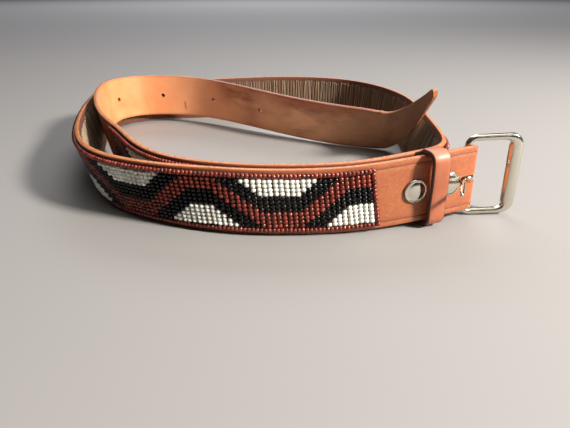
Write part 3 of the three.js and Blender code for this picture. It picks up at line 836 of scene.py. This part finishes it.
# Bright nickel plate over brass: warm grey metal, polished, with a faint handling haze
nickel, tree, shader = start_material("bright_nickel_plate")
place = put(tree, "ShaderNodeTexCoord").outputs["Object"]
haze = put(tree, "ShaderNodeTexNoise", {"Vector": place, "Scale": 220.0, "Detail": 3.0})
rough = ramp(haze.outputs["Fac"], 0.3, 0.7, 0.14, 0.26, tree)
tree.links.new(rough, shader.inputs["Roughness"])
shader.inputs["Base Color"].default_value = linear("#D4CFC0")
shader.inputs["Metallic"].default_value = 1.0

# (radius, depth) from the dome's top over the rolled rim, through the strap to the socket
cap_profile = [
    (0.02, cap_face + 1.25), (1.6, cap_face + 1.2), (3.0, cap_face + 1.03),
    (4.0, cap_face + 0.8), (4.5, cap_face + 0.62), (4.75, cap_face + 0.66),
    (5.05, cap_face + 0.86), (5.35, cap_face + 0.82), (5.6, cap_face + 0.58),
    (5.7, cap_face + 0.32), (5.6, cap_face + 0.08), (5.35, cap_face),
    (RIVET_RADIUS, cap_face), (RIVET_RADIUS, socket_face), (SOCKET_RADIUS, socket_face),
    (SOCKET_RADIUS, socket_face - 1.4), (3.7, socket_face - 2.0), (2.2, socket_face - 2.0),
    (2.2, socket_face - 0.5), (0.02, socket_face - 0.5)]
for number, s in enumerate(SNAPS, 1):
    cap_mesh = lathe_mesh(f"snap_cap_{number}_plated", cap_profile, CAP_SIDES)
    to_strap = strap_matrix(s) @ Matrix.Translation((0, WIDTH / 2, 0))
    cap_mesh.transform(Matrix.Scale(MM, 4) @ to_strap)
    cap_mesh.shade_smooth()
    cap_mesh.set_sharp_from_angle(angle=math.radians(50))
    cap = put_object(f"snap_cap_{number}_plated", cap_mesh)
    cap_mesh.materials.append(nickel)
    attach(cap, "belt")
    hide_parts(f"snap_cap_{number}")
    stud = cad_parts[f"snap_stud_{number}"]
    stud.data.materials.clear()
    stud.data.materials.append(nickel)

# ------------------------------------------------------------------------------------------
# The buckle: a frame of nickel-plated wire, bent round and closed, flattened into a broader
# bar at its far side. It hinges on its heel bar inside the strap's fold.
# ------------------------------------------------------------------------------------------
WIRE_RADIUS = 1.6
FRAME_HALF = 41.0 / 2 - WIRE_RADIUS
FRAME_REACH = 24.3
FRAME_CORNER = 4.6
HEEL_CORNER = 4.0
CORNER_STEPS = 12
WIRE_STEP = 1.2
BROAD_FROM = 1.6        # corners before the far bar at which the wire starts to broaden
SWUNG_FORWARD = 23.0    # degrees, as it rests
hinge_matrix = (strap_matrix(FOLD_STATION) @ Matrix.Translation((0, WIDTH / 2, -FOLD_RADIUS))
                @ Matrix.Rotation(math.radians(-SWUNG_FORWARD), 4, "Y"))


def frame_line():
    """Points (x, y) on the wire's middle, anticlockwise from the lower heel corner."""
    points = []
    # Each side's start and end, then its corner's middle, radius and first angle
    corners = [(HEEL_CORNER, -FRAME_HALF, FRAME_REACH - FRAME_CORNER, -FRAME_HALF,
                FRAME_REACH - FRAME_CORNER, FRAME_CORNER - FRAME_HALF, FRAME_CORNER, -90),
               (FRAME_REACH, FRAME_CORNER - FRAME_HALF, FRAME_REACH, FRAME_HALF - FRAME_CORNER,
                FRAME_REACH - FRAME_CORNER, FRAME_HALF - FRAME_CORNER, FRAME_CORNER, 0),
               (FRAME_REACH - FRAME_CORNER, FRAME_HALF, HEEL_CORNER, FRAME_HALF,
                HEEL_CORNER, FRAME_HALF - HEEL_CORNER, HEEL_CORNER, 90),
               (0, FRAME_HALF - HEEL_CORNER, 0, HEEL_CORNER - FRAME_HALF,
                HEEL_CORNER, HEEL_CORNER - FRAME_HALF, HEEL_CORNER, 180)]
    for x0, y0, x1, y1, cx, cy, radius, start in corners:
        length = math.hypot(x1 - x0, y1 - y0)
        count = max(4, round(length / WIRE_STEP))
        points += [(mix(x0, x1, k / count), mix(y0, y1, k / count)) for k in range(count)]
        for k in range(CORNER_STEPS):
            angle = math.radians(start + 90 * k / CORNER_STEPS)
            points.append((cx + radius * math.cos(angle), cy + radius * math.sin(angle)))
    return points


# The far bar's section (out along the frame, forward), pressed flat with a bevelled inside
bar_section = [
    (1.6, 0.0), (1.6, -0.55), (1.52, -1.0), (1.3, -1.36), (0.95, -1.55), (0.4, -1.6),
    (-0.5, -1.6), (-1.6, -1.6), (-2.6, -1.6), (-3.5, -1.58), (-4.05, -1.45), (-4.35, -1.2),
    (-4.4, -0.9), (-4.2, -0.5), (-3.9, 0.0), (-3.6, 0.5), (-3.3, 1.0), (-2.95, 1.4),
    (-2.4, 1.58), (-1.2, 1.6), (0.0, 1.58), (0.8, 1.45), (1.3, 1.13), (1.53, 0.6)]
line = frame_line()
frame_rings = []
for k, (x, y) in enumerate(line):
    before, after = line[k - 1], line[(k + 1) % len(line)]
    heading = Vector((after[0] - before[0], after[1] - before[1])).normalized()
    broad = smooth(x, FRAME_REACH - BROAD_FROM * FRAME_CORNER, FRAME_REACH)
    ring = []
    for i, (bar_across, bar_forward) in enumerate(bar_section):
        angle = 2 * math.pi * i / len(bar_section)
        across = mix(WIRE_RADIUS * math.cos(angle), bar_across, broad)
        ring.append((x + across * heading.y, y - across * heading.x,
                     mix(-WIRE_RADIUS * math.sin(angle), bar_forward, broad)))
    frame_rings.append(to_place(hinge_matrix, ring))
buckle = put_object("buckle_plated", loft_mesh("buckle_plated", frame_rings, closed=True))
buckle.data.shade_smooth()
buckle.data.materials.append(nickel)
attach(buckle, "buckle")
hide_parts("buckle_frame")

# ------------------------------------------------------------------------------------------
# The prong: nickel-plated wire with an eye bent round the heel bar and a straight shank that
# thins to a blunt tip. It stands open through the slot.
# ------------------------------------------------------------------------------------------
PRONG_WIRE = 1.1
PRONG_LENGTH = 26.0
EYE_RADIUS = WIRE_RADIUS + GAP + PRONG_WIRE
EYE_STEPS = 36
EYE_SIDES = 14
SHANK_SIDES = 20
PRONG_OPEN = 113.0      # degrees from the frame
prong_matrix = hinge_matrix @ Matrix.Rotation(math.radians(-PRONG_OPEN), 4, "Y")
eye_rings = []
for k in range(EYE_STEPS):
    turn = 2 * math.pi * k / EYE_STEPS
    ring = []
    for i in range(EYE_SIDES):
        angle = 2 * math.pi * i / EYE_SIDES
        reach = EYE_RADIUS + PRONG_WIRE * math.cos(angle)
        ring.append((reach * math.cos(turn), PRONG_WIRE * math.sin(angle),
                     reach * math.sin(turn)))
    eye_rings.append(to_place(prong_matrix, ring))
shank_rings = []        # (place along it, half its height, half its thickness)
for x, high, thick in ((EYE_RADIUS - 0.5, 1.1, 1.0), (EYE_RADIUS + 1, 1.17, 1.02),
                       (EYE_RADIUS + 4, 1.25, 1.05), (PRONG_LENGTH * 0.6, 1.2, 1.05),
                       (PRONG_LENGTH - 2.5, 1.1, 1.0), (PRONG_LENGTH - 0.8, 0.98, 0.8),
                       (PRONG_LENGTH - 0.2, 0.8, 0.58), (PRONG_LENGTH, 0.45, 0.3)):
    shank_rings.append(to_place(prong_matrix, [
        (x, high * math.cos(2 * math.pi * i / SHANK_SIDES),
         thick * math.sin(2 * math.pi * i / SHANK_SIDES)) for i in range(SHANK_SIDES)]))
eye_mesh = loft_mesh("prong_plated", eye_rings, closed=True)
shank_mesh = loft_mesh("prong_shank", shank_rings)
prong_points, prong_faces = [], []
for part in (eye_mesh, shank_mesh):
    first = len(prong_points)
    prong_points += [vertex.co.copy() for vertex in part.vertices]
    prong_faces += [[first + v for v in face.vertices] for face in part.polygons]
prong_mesh = bpy.data.meshes.new("prong_plated")
prong_mesh.from_pydata(prong_points, [], prong_faces)
prong_mesh.shade_smooth()
prong_mesh.set_sharp_from_angle(angle=math.radians(50))
prong = put_object("prong_plated", prong_mesh)
prong_mesh.materials.append(nickel)
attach(prong, "prong")
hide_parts("prong")

# ------------------------------------------------------------------------------------------
# The studio: a wide pale floor, a hard main light from the front right, a soft one above,
# one far behind that keeps the floor bright to its end, and the camera.
# ------------------------------------------------------------------------------------------
FLOOR = 8.0             # metres to each side
floor_mesh = bpy.data.meshes.new("floor")
floor_mesh.from_pydata([(-FLOOR, -FLOOR, 0), (FLOOR, -FLOOR, 0), (FLOOR, FLOOR, 0),
                        (-FLOOR, FLOOR, 0)], [], [(0, 1, 2, 3)])
floor = put_object("floor", floor_mesh)
floor_paint, tree, shader = start_material("pale_floor")
shader.inputs["Base Color"].default_value = linear("#8C8A88")
shader.inputs["Roughness"].default_value = 0.8
floor_mesh.materials.append(floor_paint)

# Dim walls under a brighter ceiling, paler where the camera looks straight at them
world = bpy.data.worlds.new("studio")
world.use_nodes = True
tree = world.node_tree
backdrop = tree.nodes["Background"]
sky = put(tree, "ShaderNodeSeparateXYZ", {
    0: put(tree, "ShaderNodeTexCoord").outputs["Generated"]})
wall = blend(ramp(sky.outputs["Z"], 0.05, 0.75, tree=tree), linear("#6C6F73"),
             linear("#F4F6FA"), tree)
tree.links.new(wall, backdrop.inputs["Color"])
seen = put(tree, "ShaderNodeLightPath").outputs["Is Camera Ray"]
tree.links.new(ramp(seen, 0.0, 1.0, 0.08, 0.7, tree), backdrop.inputs["Strength"])
scene.world = world


def put_light(name, place, target, size, power, colour):
    """A square area light, in metres and watts, that faces its target."""
    data = bpy.data.lights.new(name, "AREA")
    data.size = size
    data.energy = power
    data.color = linear(colour)[:3]
    light = bpy.data.objects.new(name, data)
    light.location = place
    light.rotation_euler = (Vector(target) - Vector(place)).to_track_quat("-Z", "Y").to_euler()
    scene.collection.objects.link(light)


put_light("main_light", (0.79, -0.42, 0.6), (0.02, 0, 0.02), 0.16, 28.0, "#FFF8F0")
put_light("top_light", (0.2, -0.05, 1.3), (0.05, 0, 0), 1.0, 7.2, "#FFFAF2")
put_light("far_light", (0, 4.0, 3.0), (0, 3.9, 0), 3.0, 190.0, "#F4F6FF")
scene.view_settings.view_transform = "Standard"

camera_data = bpy.data.cameras.new("camera")
camera_data.sensor_width = 36.0
camera_data.lens = 27.73
camera_data.clip_start = 0.01
camera = bpy.data.objects.new("camera", camera_data)
camera.location = (0.016036, -0.289333, 0.1012)
camera.rotation_euler = (math.radians(63), 0, 0)
scene.collection.objects.link(camera)
scene.camera = camera

bpy.context.view_layer.update()
